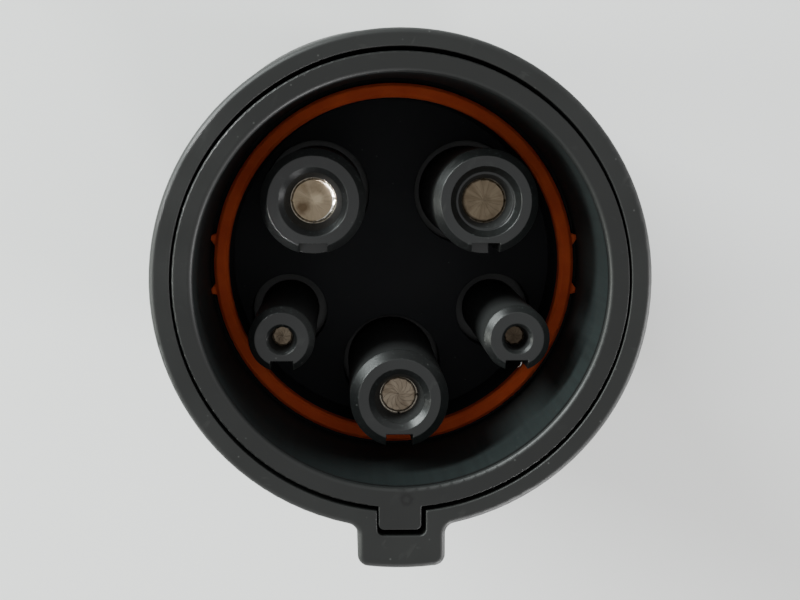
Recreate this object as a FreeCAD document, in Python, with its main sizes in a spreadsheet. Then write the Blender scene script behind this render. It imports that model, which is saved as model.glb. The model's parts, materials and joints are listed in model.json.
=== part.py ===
import FreeCAD, Part
import math
import os
import Sketcher
from FreeCAD import Vector

# electric vehicle charging adapter, standing on its flat rear face with the plug mouth up
os.makedirs("parts", exist_ok=True)
doc = FreeCAD.newDocument("adapter")
sheet = doc.addObject("Spreadsheet::Sheet", "Sizes")

# every independent size in millimetres
sizes = [
    ("overall_length", 122.0),
    ("nose_radius", 21.9),
    ("body_radius", 25.6),
    ("joint_height", 62.0),
    ("collar_height", 2.0),
    ("flare_height", 14.0),
    ("flare_blend", 3.2),
    ("flare_swell", 0.5),
    ("spigot_length", 13.7),
    ("spigot_inset", 2.7),
    ("nose_wall_side", 1.82),
    ("nose_wall_top", 1.6),
    ("nose_edge", 0.6),
    ("mouth_edge", 0.12),
    ("shelf_rise", 10.0),
    ("shelf_step", 0.3),
    ("cup_play", 0.18),
    ("cup_thick", 1.6),
    ("lip_thick", 1.8),
    ("lip_height", 0.8),
    ("lip_round", 0.5),
    ("cup_edge", 0.14),
    ("rib_width", 3.78),
    ("rib_height", 2.0),
    ("rib_corner", 0.5),
    ("rib_shift", 0.14),
    ("slot_play_width", 0.54),
    ("slot_play_depth", 0.52),
    ("slot_corner", 0.6),
    ("lug_wall", 1.71),
    ("lug_cover", 3.0),
    ("lug_corner", 1.0),
    ("lug_web", 1.0),
    ("floor_drop", 27.5),
    ("floor_thick", 3.0),
    ("ledge_rise", 6.8),
    ("ledge_width", 1.9),
    ("seal_thick", 1.7),
    ("seal_play", 0.5),
    ("seal_bevel", 0.3),
    ("tab_play", 0.03),
    ("tab_near", 1.6),
    ("tab_far", 3.1),
    ("carrier_play", 0.4),
    ("carrier_thick", 8.0),
    ("notch_shelf", 1.8),
    ("notch_slit", 0.9),
    ("tube_flange", 0.6),
    ("tube_flange_thick", 2.0),
    ("tip_drop", 4.8),
    ("contact_drop", 3.0),
    ("lead_depth", 2.3),
    ("lead_step", 0.9),
    ("lead_outer", 3.2),
    ("lead_shelf", 2.65),
    ("lead_inner", 2.45),
    ("lead_throat", 2.05),
    ("plate_thick", 4.0),
    ("collar_thick", 1.5),
    ("line_x", 7.75),
    ("line_y", 6.8),
    ("earth_y", 11.1),
    ("signal_x", 10.65),
    ("signal_y", 5.6),
    ("line_tube", 4.75),
    ("line_bevel", 0.67),
    ("line_lead", 3.12),
    ("line_mid", 2.6),
    ("line_mid_drop", 0.5),
    ("line_lip", 2.1),
    ("line_gap", 0.65),
    ("line_pin", 1.8),
    ("line_notch_depth", 1.03),
    ("line_notch_width", 2.55),
    ("earth_tube", 4.5),
    ("earth_bevel", 0.78),
    ("earth_lead", 2.82),
    ("earth_mid", 2.25),
    ("earth_mid_drop", 0.55),
    ("earth_lip", 1.75),
    ("earth_gap", 0.55),
    ("earth_pin", 1.4),
    ("earth_notch_depth", 1.3),
    ("earth_notch_width", 2.43),
    ("signal_tube", 3.0),
    ("signal_bevel", 0.58),
    ("signal_lead", 1.42),
    ("signal_mid", 1.17),
    ("signal_mid_drop", 0.27),
    ("signal_lip", 0.95),
    ("signal_gap", 0.9),
    ("signal_pin", 0.75),
    ("signal_notch_depth", 1.05),
    ("signal_notch_width", 2.05),
    ("line_sleeve", 0.8),
    ("earth_sleeve", 0.9),
    ("signal_sleeve", 0.5),
    ("line_room", 0.45),
    ("earth_room", 0.4),
    ("signal_room", 0.25),
    ("line_split", 0.14),
    ("earth_split", 0.14),
    ("signal_split", 0.12),
    ("bore_depth", 20.0),
    ("bore_mouth", 0.4),
    ("split_length", 12.0),
    ("spring_drop", 2.2),
    ("spring_width", 1.6),
    ("spring_groove", 0.15),
    ("spring_thick", 0.3),
    ("barrel_length", 9.5),
    ("crimp_depth", 10.0),
    ("crimp_wall", 0.8),
    ("line_wire", 1.5),
    ("earth_wire", 1.2),
    ("signal_wire", 0.5),
    ("small_crimp_wall", 0.5),
    ("wire_play", 0.03),
    ("cover_step", 0.1),
    ("fit_play", 0.05),
    ("grip_start", 14.0),
    ("grip_pitch", 6.0),
    ("grip_width", 3.0),
    ("grip_depth", 0.6),
    ("rear_edge", 0.9),
    ("flange_thick", 3.0),
    ("rim_wall", 2.4),
    ("gasket_thick", 0.8),
    ("rear_wall_thick", 4.2),
    ("shell_wall", 3.6),
    ("screw_inset", 2.2),
    ("socket_depth", 26.0),
    ("socket_floor_thick", 4.0),
    ("socket_wall", 1.8),
    ("socket_top_round", 8.2),
    ("socket_low_round", 6.4),
    ("socket_top_x", 8.6),
    ("socket_top_y", 3.6),
    ("socket_low_x", 4.2),
    ("socket_low_y", 7.6),
    ("retainer_thick", 5.0),
    ("power_x", 8.2),
    ("power_y", 3.4),
    ("ground_y", 6.8),
    ("pilot_x", 6.8),
    ("pilot_y", 8.2),
    ("power_pin", 3.6),
    ("ground_pin", 2.2),
    ("pilot_pin", 1.3),
    ("pin_shoulder", 0.4),
    ("pin_collar", 1.2),
    ("pin_barrel", 11.0),
    ("pin_recess", 6.0),
    ("cap_thick", 1.8),
    ("cap_round", 0.5),
    ("peg_length", 1.3),
    ("ring_drop", 11.0),
    ("ring_depth", 1.3),
    ("ring_width", 1.6),
    ("side_screw_drop", 6.0),
    ("side_skin", 1.2),
    ("side_head", 1.7),
    ("small_screw", 1.1),
    ("small_head", 1.9),
    ("small_head_thick", 1.5),
    ("plate_screw", 1.2),
    ("plate_head", 2.2),
    ("plate_head_thick", 1.6),
    ("screw_play", 0.02),
    ("screw_top_y", 14.0),
    ("screw_low_x", 8.3),
    ("screw_low_y", 13.0),
    ("retainer_screw_top", 8.6),
    ("retainer_screw_low", 12.2),
]
for row, pair in enumerate(sizes, start=1):
    sheet.set("A%d" % row, pair[0])
    sheet.set("B%d" % row, str(pair[1]))
    sheet.setAlias("B%d" % row, pair[0])
doc.recompute()
val = dict(sizes)

# heights and radii that follow from the sizes above
follow = {
    "flare_bottom": "joint_height + collar_height",
    "flare_top": "flare_bottom + flare_height",
    "spigot_end": "joint_height - spigot_length",
    "spigot_radius": "body_radius - spigot_inset",
    "ring_height": "joint_height - ring_drop",
    "ring_groove": "spigot_radius - ring_depth",
    "mouth_half_width": "nose_radius - nose_wall_side",
    "mouth_half_height": "nose_radius - nose_wall_top",
    "shelf_height": "joint_height + shelf_rise",
    "shelf_bore": "cup_wall + shelf_step",
    "cup_radius": "mouth_half_width - cup_play",
    "cup_wall": "cup_radius - cup_thick",
    "cup_inner": "cup_radius - lip_thick",
    "rib_reach": "cup_radius + rib_height",
    "slot_width": "rib_width + slot_play_width",
    "slot_reach": "rib_reach + slot_play_depth",
    "lug_width": "slot_width + lug_wall*2",
    "lug_reach": "slot_reach + lug_cover",
    "floor_top": "overall_length - floor_drop",
    "floor_under": "floor_top - floor_thick",
    "ledge_top": "floor_top + ledge_rise",
    "seal_top": "ledge_top + seal_thick",
    "seal_inner": "cup_wall - ledge_width",
    "seal_outer": "cup_wall - seal_play",
    "tab_reach": "cup_wall - tab_play",
    "tip_height": "overall_length - tip_drop",
    "contact_top": "tip_height - contact_drop",
    "carrier_radius": "cup_wall - carrier_play",
    "carrier_under": "floor_under - carrier_thick",
    "tube_seat": "floor_under - tube_flange_thick",
    "plate_under": "carrier_under - plate_thick",
    "contact_end": "plate_under - barrel_length",
    "line_hole": "line_tube + line_gap",
    "earth_hole": "earth_tube + earth_gap",
    "signal_hole": "signal_tube + signal_gap",
    "line_face": "line_tube - line_bevel",
    "earth_face": "earth_tube - earth_bevel",
    "signal_face": "signal_tube - signal_bevel",
    "line_contact": "line_pin + line_sleeve",
    "earth_contact": "earth_pin + earth_sleeve",
    "signal_contact": "signal_pin + signal_sleeve",
    "line_tube_bore": "line_contact + line_room",
    "earth_tube_bore": "earth_contact + earth_room",
    "signal_tube_bore": "signal_contact + signal_room",
    "line_barrel": "line_wire + crimp_wall",
    "earth_barrel": "earth_wire + crimp_wall",
    "signal_barrel": "signal_wire + small_crimp_wall",
    "line_cover": "line_barrel - cover_step",
    "earth_cover": "earth_barrel - cover_step",
    "signal_cover": "signal_barrel - cover_step",
    "socket_back": "socket_depth + socket_floor_thick",
    "retainer_top": "socket_back + retainer_thick",
    "pin_end": "retainer_top + pin_barrel",
    "cap_end": "pin_recess - cap_thick",
    "flange_radius": "body_radius - rim_wall",
    "recess_top": "flange_thick + gasket_thick",
    "rear_wall_top": "recess_top + rear_wall_thick",
    "rear_inner": "body_radius - shell_wall",
    "screw_circle": "flange_radius - screw_inset",
    "side_screw_height": "joint_height - side_screw_drop",
}
nodes = {}


# small helpers for sized solids
def bind(obj, prop, formula):
    obj.setExpression(prop, formula)


def q(text):
    # the formula with every size named as the sheet knows it
    out = []
    word = ""
    for char in text + " ":
        if char.isalnum() or char == "_":
            word += char
            continue
        if word in val:
            out.append("Sizes." + word)
        elif word in follow:
            out.append("(" + q(follow[word]) + ")")
        else:
            out.append(word)
        word = ""
        out.append(char)
    return "".join(out).strip()


def amount(word):
    if word in val:
        return val[word]
    if word in follow:
        return number(follow[word])
    return float(word)


def number(text):
    # value of a sum whose terms are a size, a figure, or a size times a figure
    total = 0.0
    sign = 1.0
    for word in text.split():
        if word == "+":
            sign = 1.0
        elif word == "-":
            sign = -1.0
        elif "*" in word:
            first, second = word.split("*")
            total += sign * amount(first) * float(second)
        else:
            total += sign * amount(word)
    return total


def place(obj, x, y, z):
    bind(obj, "Placement.Base.z", q(z))
    if x:
        bind(obj, "Placement.Base.x", q(x))
    if y:
        bind(obj, "Placement.Base.y", q(y))


def cyl(name, radius, low, height, x=None, y=None):
    obj = doc.addObject("Part::Cylinder", name)
    bind(obj, "Radius", q(radius))
    bind(obj, "Height", q(height))
    place(obj, x, y, low)
    return obj


def cone(name, low_radius, top_radius, low, height, x=None, y=None):
    obj = doc.addObject("Part::Cone", name)
    bind(obj, "Radius1", q(low_radius))
    bind(obj, "Radius2", q(top_radius))
    bind(obj, "Height", q(height))
    place(obj, x, y, low)
    return obj


def box(name, length, width, height, x, y, z):
    obj = doc.addObject("Part::Box", name)
    bind(obj, "Length", q(length))
    bind(obj, "Width", q(width))
    bind(obj, "Height", q(height))
    place(obj, x, y, z)
    return obj


def fuse(name, parts):
    obj = doc.addObject("Part::MultiFuse", name)
    obj.Shapes = parts
    obj.Refine = True
    return obj


def cut(name, base, tools):
    tool = tools[0]
    if len(tools) > 1:
        tool = fuse(name + "_tools", tools)
    obj = doc.addObject("Part::Cut", name)
    obj.Base = base
    obj.Tool = tool
    obj.Refine = True
    return obj


def group(name, parts):
    obj = doc.addObject("Part::Compound", name)
    obj.Links = parts
    return obj


def raised(name, base, low, height):
    # a flat outline drawn straight up
    obj = doc.addObject("Part::Extrusion", name)
    obj.Base = base
    obj.DirMode = "Custom"
    obj.Dir = Vector(0, 0, 1)
    obj.Solid = True
    bind(obj, "LengthFwd", q(height))
    bind(obj, "Placement.Base.z", q(low))
    return obj


def lathe(name, points):
    # a turned solid: a closed outline of radius and height, both bound to the sheet
    body = doc.addObject("PartDesign::Body", name)
    sketch = body.newObject("Sketcher::SketchObject", name + "_outline")
    plane = [f for f in body.Origin.OriginFeatures if f.Role == "XZ_Plane"][0]
    sketch.AttachmentSupport = [(plane, "")]
    sketch.MapMode = "FlatFace"
    spots = [Vector(number(r), number(z), 0) for r, z in points]
    count = len(spots)
    for i in range(count):
        sketch.addGeometry(Part.LineSegment(spots[i], spots[(i + 1) % count]), False)
    for i in range(count):
        sketch.addConstraint(Sketcher.Constraint("Coincident", i, 2, (i + 1) % count, 1))
    for i in range(count):
        if points[i][0] == "0":
            sketch.addConstraint(Sketcher.Constraint("PointOnObject", i, 1, -2))
        else:
            at = sketch.addConstraint(Sketcher.Constraint("DistanceX", -1, 1, i, 1, spots[i].x))
            bind(sketch, "Constraints[%d]" % at, q(points[i][0]))
        if points[i][1] == "0":
            sketch.addConstraint(Sketcher.Constraint("PointOnObject", i, 1, -1))
        else:
            at = sketch.addConstraint(Sketcher.Constraint("DistanceY", -1, 1, i, 1, spots[i].y))
            bind(sketch, "Constraints[%d]" % at, q(points[i][1]))
    turn = body.newObject("PartDesign::Revolution", name + "_turned")
    turn.Profile = sketch
    turn.ReferenceAxis = (sketch, ["V_Axis"])
    turn.Angle = 360.0
    body.Tip = turn
    return body


def round_edges(name, base, radius, choose):
    doc.recompute()
    obj = doc.addObject("Part::Fillet", name)
    obj.Base = base
    picked = []
    for i, edge in enumerate(base.Shape.Edges, start=1):
        if choose(edge):
            picked.append((i, radius, radius))
    obj.Edges = picked
    doc.recompute()
    return obj


def keep(label, obj, x=None, y=None):
    if x:
        bind(obj, "Placement.Base.x", q(x))
    if y:
        bind(obj, "Placement.Base.y", q(y))
    obj.Label = label
    nodes[label] = obj
    return obj


def at_rim(edge):
    rim = val["overall_length"]
    return abs(edge.BoundBox.ZMin - rim) < 1e-4 and abs(edge.BoundBox.ZMax - rim) < 1e-4


def far_out(edge):
    # the largest distance of a rim edge from the axis
    return max(math.hypot(p.x, p.y) for p in edge.discretize(9))


def key_bar(name, width, reach, corner, inner, shift, low, height):
    # a straight bar on the lower side with two rounded outer corners
    wide = box(name + "_wide", width, reach + " - " + corner + " - (" + inner + ")", height,
               shift + " - " + width + "*0.5", corner + " - " + reach, low)
    slim = box(name + "_slim", width + " - " + corner + "*2", reach + " - (" + inner + ")", height,
               shift + " - " + width + "*0.5 + " + corner, "0 - " + reach, low)
    left = cyl(name + "_left", corner, low, height,
               shift + " - " + width + "*0.5 + " + corner, corner + " - " + reach)
    right = cyl(name + "_right", corner, low, height,
                shift + " + " + width + "*0.5 - " + corner, corner + " - " + reach)
    return fuse(name, [wide, slim, left, right])


def mirror(point):
    return Vector(-point.x, point.y, 0)


def between(centre, radius, first, second):
    middle = (first - centre).normalize() + (second - centre).normalize()
    return centre + middle.normalize() * radius


# front housing: the round nose with its keyed lug, the flare and the spigot
shell = lathe("nose_blank", [
    ("shelf_bore", "overall_length"),
    ("nose_radius", "overall_length"),
    ("nose_radius", "flare_top"),
    ("nose_radius + flare_swell", "flare_top - flare_blend"),
    ("body_radius - flare_swell", "flare_bottom + flare_blend"),
    ("body_radius", "flare_bottom"),
    ("body_radius", "joint_height"),
    ("spigot_radius", "joint_height"),
    ("spigot_radius", "ring_height + ring_width*0.5"),
    ("ring_groove", "ring_height + ring_width*0.5"),
    ("ring_groove", "ring_height - ring_width*0.5"),
    ("spigot_radius", "ring_height - ring_width*0.5"),
    ("spigot_radius", "spigot_end"),
    ("shelf_bore", "spigot_end"),
])

# outline of the lug seen from the front, with rounded corners and hollow webs to the nose
half = number("lug_width*0.5")
web = val["lug_web"]
corner = val["lug_corner"]
nose = val["nose_radius"]
reach = number("lug_reach")
root = Vector(half + web, -math.sqrt((nose + web) ** 2 - (half + web) ** 2), 0)
touch = root * (nose / (nose + web))
bend = Vector(half - corner, -math.sqrt((reach - corner) ** 2 - (half - corner) ** 2), 0)
far = bend * (reach / (reach - corner))
web_end = Vector(half, root.y, 0)
web_mid = between(root, web, touch, web_end)
side_end = Vector(half, bend.y, 0)
corner_mid = between(bend, corner, side_end, far)
inside = Vector(touch.x, -number("mouth_half_width"), 0)
outline = [
    Part.Arc(touch, web_mid, web_end).toShape(),
    Part.makeLine(web_end, side_end),
    Part.Arc(side_end, corner_mid, far).toShape(),
    Part.Arc(far, Vector(0, -reach, 0), mirror(far)).toShape(),
    Part.Arc(mirror(far), mirror(corner_mid), mirror(side_end)).toShape(),
    Part.makeLine(mirror(side_end), mirror(web_end)),
    Part.Arc(mirror(web_end), mirror(web_mid), mirror(touch)).toShape(),
    Part.makeLine(mirror(touch), mirror(inside)),
    Part.makeLine(mirror(inside), inside),
    Part.makeLine(inside, touch),
]
lug_face = doc.addObject("Part::Feature", "lug_outline")
lug_face.Shape = Part.Face(Part.Wire(outline))
lug = raised("lug", lug_face, "joint_height + collar_height*0.5",
             "overall_length - joint_height - collar_height*0.5")
nose_round = round_edges(
    "nose_rounded", fuse("nose_with_lug", [shell, lug]), val["nose_edge"],
    lambda e: at_rim(e) and far_out(e) > number("nose_radius") - 0.01)

# the oval mouth down to the shelf, and the key slot
mouth_curve = doc.addObject("Part::Ellipse", "mouth_curve")
bind(mouth_curve, "MajorRadius", q("mouth_half_height"))
bind(mouth_curve, "MinorRadius", q("mouth_half_width"))
mouth_curve.Placement = FreeCAD.Placement(Vector(0, 0, 0), FreeCAD.Rotation(Vector(0, 0, 1), 90))
mouth = raised("mouth", mouth_curve, "shelf_height", "overall_length - shelf_height + 1")
slot = key_bar("key_slot", "slot_width", "slot_reach", "slot_corner", "cup_wall", "0",
               "shelf_height", "overall_length - shelf_height + 1")


# three small screws from the side hold the two housings together
def side_tool(name, radius, inner, outer, angle):
    obj = doc.addObject("Part::Cylinder", name)
    bind(obj, "Radius", q(radius))
    bind(obj, "Height", q("(" + outer + ") - (" + inner + ")"))
    turn = FreeCAD.Rotation(Vector(0, 0, 1), angle) * FreeCAD.Rotation(Vector(0, 1, 0), 90)
    obj.Placement = FreeCAD.Placement(Vector(0, 0, 0), turn)
    side = FreeCAD.Rotation(Vector(0, 0, 1), angle).multVec(Vector(1, 0, 0))
    bind(obj, "Placement.Base.x", "(%s) * %.9f" % (q(inner), side.x))
    bind(obj, "Placement.Base.y", "(%s) * %.9f" % (q(inner), side.y))
    bind(obj, "Placement.Base.z", q("side_screw_height"))
    return obj


side_angles = (90, 210, 330)
spigot_holes = [side_tool("spigot_hole_%d" % a, "plate_screw + fit_play", "shelf_bore + side_skin",
                          "spigot_radius + 1", a) for a in side_angles]
front = cut("front_housing_cut", nose_round, [mouth, slot] + spigot_holes)
keep("front_housing", round_edges(
    "mouth_softened", front, val["mouth_edge"],
    lambda e: at_rim(e) and far_out(e) < number("slot_reach") + 0.9 and far_out(e) != 0
    and abs(far_out(e) - number("nose_radius") + val["nose_edge"]) > 0.02))

# inner cup: rim, key rib, ledge for the seal and the floor with five clearance holes
cup_turned = lathe("cup_blank", [
    ("cup_inner", "overall_length"),
    ("cup_radius", "overall_length"),
    ("cup_radius", "shelf_height"),
    ("cup_wall", "shelf_height"),
    ("cup_wall", "floor_under"),
    ("0", "floor_under"),
    ("0", "floor_top"),
    ("seal_inner", "floor_top"),
    ("seal_inner", "ledge_top"),
    ("cup_wall", "ledge_top"),
    ("cup_wall", "overall_length - lip_height"),
    ("cup_inner", "overall_length - lip_height"),
])
rib = key_bar("key_rib", "rib_width", "rib_reach", "rib_corner", "cup_wall + cup_thick*0.5",
              "0 - rib_shift", "shelf_height", "overall_length - shelf_height")
cup_solid = fuse("cup_with_rib", [cup_turned, rib])
cup_lip = round_edges(
    "cup_lip_rounded", cup_solid, val["lip_round"],
    lambda e: at_rim(e) and far_out(e) < number("cup_inner") + 0.01)
cup_round = round_edges(
    "cup_edge_softened", cup_lip, val["cup_edge"],
    lambda e: at_rim(e) and far_out(e) > number("cup_radius") - 0.01)
contacts = [
    ("line_1", "line", "0 - line_x", "line_y"),
    ("line_2", "line", "line_x", "line_y"),
    ("earth", "earth", None, "0 - earth_y"),
    ("pilot", "signal", "0 - signal_x", "0 - signal_y"),
    ("proximity", "signal", "signal_x", "0 - signal_y"),
]
screw_spots = [
    (None, "screw_top_y"),
    ("screw_low_x", "0 - screw_low_y"),
    ("0 - screw_low_x", "0 - screw_low_y"),
]
plate_hole = "plate_screw + screw_play"
holes = []
for tag, kind, x, y in contacts:
    holes.append(cyl("floor_hole_" + tag, kind + "_hole", "floor_under - 1", "floor_thick + 2", x, y))
for i, (x, y) in enumerate(screw_spots):
    holes.append(cyl("cup_screw_hole_%d" % i, plate_hole, "floor_under - 1", "1 + floor_thick*0.7", x, y))
keep("inner_cup", cut("inner_cup_cut", cup_round, holes))

# face seal: an orange ring on the ledge with two pairs of hooked tabs
ring = lathe("seal_ring", [
    ("seal_inner", "ledge_top"),
    ("seal_outer", "ledge_top"),
    ("seal_outer", "seal_top - seal_bevel"),
    ("seal_outer - seal_bevel", "seal_top"),
    ("seal_inner + seal_bevel", "seal_top"),
    ("seal_inner", "seal_top - seal_bevel"),
])
tabs = []
near = val["tab_near"]
far_y = val["tab_far"]
tip_r = number("tab_reach")
low_r = number("seal_outer - seal_bevel*2")
hook_y = far_y - 0.2
back_y = far_y - 0.65
for side in (-1, 1):
    for level in (-1, 1):
        corners = [
            Vector(side * low_r, level * far_y, 0),
            Vector(side * math.sqrt(tip_r ** 2 - hook_y ** 2), level * hook_y, 0),
            Vector(side * math.sqrt(tip_r ** 2 - back_y ** 2), level * back_y, 0),
            Vector(side * number("seal_outer - seal_bevel"), level * near, 0),
            Vector(side * low_r, level * near, 0),
        ]
        tab_face = doc.addObject("Part::Feature", "tab_outline")
        tab_face.Shape = Part.Face(Part.makePolygon(corners + [corners[0]]))
        tabs.append(raised("seal_tab", tab_face, "ledge_top", "seal_thick - seal_bevel"))
keep("face_seal", fuse("face_seal_fused", [ring] + tabs))

# insulating tubes: turned sleeves with a chamfer, a bevel and a slow cone to lead the pin in, a key
# notch and a flange that seats in the carrier; the notch of the two line tubes ends on a shelf, and
# in line_2 a slit goes on beside it
for tag, kind, x, y in contacts:
    points = [
        (kind + "_tube_bore", "tube_seat"),
        (kind + "_hole + tube_flange", "tube_seat"),
        (kind + "_hole + tube_flange", "floor_under"),
        (kind + "_tube", "floor_under"),
        (kind + "_tube", "tip_height - " + kind + "_bevel"),
        (kind + "_face", "tip_height"),
    ]
    if tag == "line_2":
        throat = "lead_throat"
        points.append(("lead_outer", "tip_height"))
        points.append(("lead_shelf", "tip_height - lead_step"))
        points.append(("lead_inner", "tip_height - lead_step"))
    else:
        throat = kind + "_lip"
        points.append((kind + "_lead", "tip_height"))
        points.append((kind + "_mid", "tip_height - " + kind + "_mid_drop"))
    points.append((throat, "tip_height - lead_depth"))
    points.append((throat, "contact_top"))
    points.append((kind + "_tube_bore", "contact_top"))
    width = kind + "_notch_width"
    depth = kind + "_notch_depth + 1"
    back = "0 - 1 - " + kind + "_tube"
    if kind == "line":
        notches = [box("notch_" + tag, width, depth, "notch_shelf + 1", "0 - " + width + "*0.5", back,
                       "tip_height - notch_shelf")]
    else:
        notches = [box("notch_" + tag, width, depth, "tip_height - floor_top + 1",
                       "0 - " + width + "*0.5", back, "floor_top")]
    if tag == "line_2":
        notches.append(box("slit_" + tag, "notch_slit", depth, "tip_height - floor_top + 1",
                           width + "*0.5 - notch_slit", back, "floor_top"))
    turned = lathe("tube_turned_" + tag, points)
    keep("contact_tube_" + tag, cut("contact_tube_cut_" + tag, turned, notches), x, y)

# contact carrier: the disc that holds the five tubes and the collars of the contacts
tools = []
for tag, kind, x, y in contacts:
    tools.append(cyl("tube_seat_" + tag, kind + "_hole + tube_flange + fit_play", "tube_seat",
                     "floor_under - tube_seat + 1", x, y))
    tools.append(cyl("carrier_bore_" + tag, kind + "_tube_bore", "carrier_under - 1",
                     "floor_under - carrier_under + 1", x, y))
    tools.append(cyl("collar_seat_" + tag, kind + "_tube_bore + collar_thick*0.4", "carrier_under - 1",
                     "collar_thick + 1", x, y))
for i, (x, y) in enumerate(screw_spots):
    tools.append(cyl("carrier_screw_hole_%d" % i, plate_hole, "carrier_under - 1", "carrier_thick + 2", x, y))
disc = cyl("carrier_disc", "carrier_radius", "carrier_under", "carrier_thick")
keep("contact_carrier", cut("contact_carrier_cut", disc, tools))

# back plate that traps the contact collars under the carrier
plate = cyl("plate_disc", "carrier_radius", "plate_under", "plate_thick")
holes = []
for tag, kind, x, y in contacts:
    holes.append(cyl("plate_hole_" + tag, kind + "_barrel + fit_play", "plate_under - 1",
                     "plate_thick + 2", x, y))
for i, (x, y) in enumerate(screw_spots):
    holes.append(cyl("plate_screw_hole_%d" % i, plate_hole, "plate_under - 1", "plate_thick + 2", x, y))
keep("contact_back_plate", cut("contact_back_plate_cut", plate, holes))

# female contacts: slotted sleeves with a collar, a crimp barrel and a spring band each
for tag, kind, x, y in contacts:
    pin = kind + "_pin"
    outer = kind + "_contact"
    collar = kind + "_tube_bore + collar_thick*0.4 - fit_play"
    turned = lathe("contact_turned_" + tag, [
        ("0", "contact_top - bore_depth"),
        (pin, "contact_top - bore_depth"),
        (pin, "contact_top - bore_mouth"),
        (pin + " + bore_mouth*0.6", "contact_top"),
        (outer + " - spring_groove", "contact_top"),
        (outer, "contact_top - bore_mouth"),
        (outer, "contact_top - spring_drop"),
        (outer + " - spring_groove", "contact_top - spring_drop"),
        (outer + " - spring_groove", "contact_top - spring_drop - spring_width"),
        (outer, "contact_top - spring_drop - spring_width"),
        (outer, "carrier_under + collar_thick"),
        (collar, "carrier_under + collar_thick"),
        (collar, "carrier_under"),
        (kind + "_barrel", "carrier_under"),
        (kind + "_barrel", "contact_end"),
        (kind + "_wire + wire_play", "contact_end"),
        (kind + "_wire + wire_play", "contact_end + crimp_depth"),
        ("0", "contact_end + crimp_depth"),
    ])
    gap = kind + "_split"
    first = box("split_a_" + tag, outer + "*2 + 1", gap, "split_length + 1",
                "0 - 0.5 - " + outer, "0 - " + gap + "*0.5", "contact_top - split_length")
    second = box("split_b_" + tag, gap, outer + "*2 + 1", "split_length + 1",
                 "0 - " + gap + "*0.5", "0 - 0.5 - " + outer, "contact_top - split_length")
    keep("contact_" + tag, cut("contact_cut_" + tag, turned, [first, second]), x, y)
    low = "contact_top - spring_drop - spring_width + fit_play"
    top = "contact_top - spring_drop - fit_play"
    inner = outer + " - spring_groove + screw_play"
    band = lathe("spring_turned_" + tag, [
        (inner, low),
        (inner + " + spring_thick", low),
        (inner + " + spring_thick", top),
        (inner, top),
    ])
    opening = box("spring_gap_" + tag, outer + " + 1", gap, "spring_width + 1",
                  "0", "0 - " + gap + "*0.5", low + " - 0.5")
    keep("contact_spring_" + tag, cut("spring_cut_" + tag, band, [opening]), x, y)

# pan head screws under the back plate
screws = []
for i, (x, y) in enumerate(screw_spots):
    shank = cyl("plate_screw_shank_%d" % i, "plate_screw", "plate_under",
                "floor_under + floor_thick*0.6 - plate_under", x, y)
    head = cyl("plate_screw_head_%d" % i, "plate_head", "plate_under - plate_head_thick",
               "plate_head_thick", x, y)
    socket = cyl("plate_screw_socket_%d" % i, "plate_head*0.4", "plate_under - plate_head_thick - 1",
                 "plate_head_thick*0.6 + 1", x, y)
    screws.append(cut("plate_screw_%d" % i, fuse("plate_screw_solid_%d" % i, [shank, head]), [socket]))
keep("back_plate_screws", group("back_plate_screws_group", screws))


# the flat form of the rear inlet: a hull round two upper and two lower circles
def hull(name, grow, low, height):
    r_top = val["socket_top_round"] + grow
    r_low = val["socket_low_round"] + grow
    top = Vector(val["socket_top_x"], val["socket_top_y"], 0)
    bottom = Vector(val["socket_low_x"], -val["socket_low_y"], 0)
    line = bottom - top
    lean = math.atan2(line.y, line.x) + math.acos((r_top - r_low) / line.Length)
    out = Vector(math.cos(lean), math.sin(lean), 0)
    first = top + out * r_top
    second = bottom + out * r_low
    up = top + Vector(0, r_top, 0)
    down = bottom - Vector(0, r_low, 0)
    top_mid = between(top, r_top, up, first)
    low_mid = between(bottom, r_low, second, down)
    edges = [
        Part.makeLine(mirror(up), up),
        Part.Arc(up, top_mid, first).toShape(),
        Part.makeLine(first, second),
        Part.Arc(second, low_mid, down).toShape(),
        Part.makeLine(down, mirror(down)),
        Part.Arc(mirror(down), mirror(low_mid), mirror(second)).toShape(),
        Part.makeLine(mirror(second), mirror(first)),
        Part.Arc(mirror(first), mirror(top_mid), mirror(up)).toShape(),
    ]
    face = doc.addObject("Part::Feature", name + "_outline")
    face.Shape = Part.Face(Part.Wire(edges))
    return raised(name, face, low, height)


# rear housing: the straight grip body with a recess for the inlet flange
profile = [
    ("body_radius", "joint_height"),
    ("spigot_radius + fit_play", "joint_height"),
    ("spigot_radius + fit_play", "spigot_end - shelf_step"),
    ("rear_inner", "spigot_end - shelf_step"),
    ("rear_inner", "rear_wall_top"),
    ("0", "rear_wall_top"),
    ("0", "recess_top"),
    ("flange_radius + fit_play", "recess_top"),
    ("flange_radius + fit_play", "0"),
    ("body_radius - rear_edge", "0"),
    ("body_radius", "rear_edge"),
]
for i in range(3):
    start = "grip_start + grip_pitch*%d" % i
    profile.append(("body_radius", start))
    profile.append(("body_radius - grip_depth", start + " + grip_depth"))
    profile.append(("body_radius - grip_depth", start + " + grip_width - grip_depth"))
    profile.append(("body_radius", start + " + grip_width"))
rear = lathe("rear_turned", profile)
flange_spots = []
for angle in (60, 120, 230, 310):
    turn = math.radians(angle)
    flange_spots.append(("screw_circle*%.6f" % math.cos(turn), "screw_circle*%.6f" % math.sin(turn)))
small_hole = "small_screw + screw_play"
tools = [hull("wall_opening", val["socket_wall"] + val["fit_play"], "recess_top - 1",
              "rear_wall_thick + 2")]
for a in side_angles:
    tools.append(side_tool("side_hole_%d" % a, "plate_screw + fit_play", "spigot_radius - 1",
                           "body_radius - 1", a))
    tools.append(side_tool("side_sink_%d" % a, "plate_head + fit_play*4", "body_radius - side_head",
                           "body_radius + 1", a))
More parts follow.
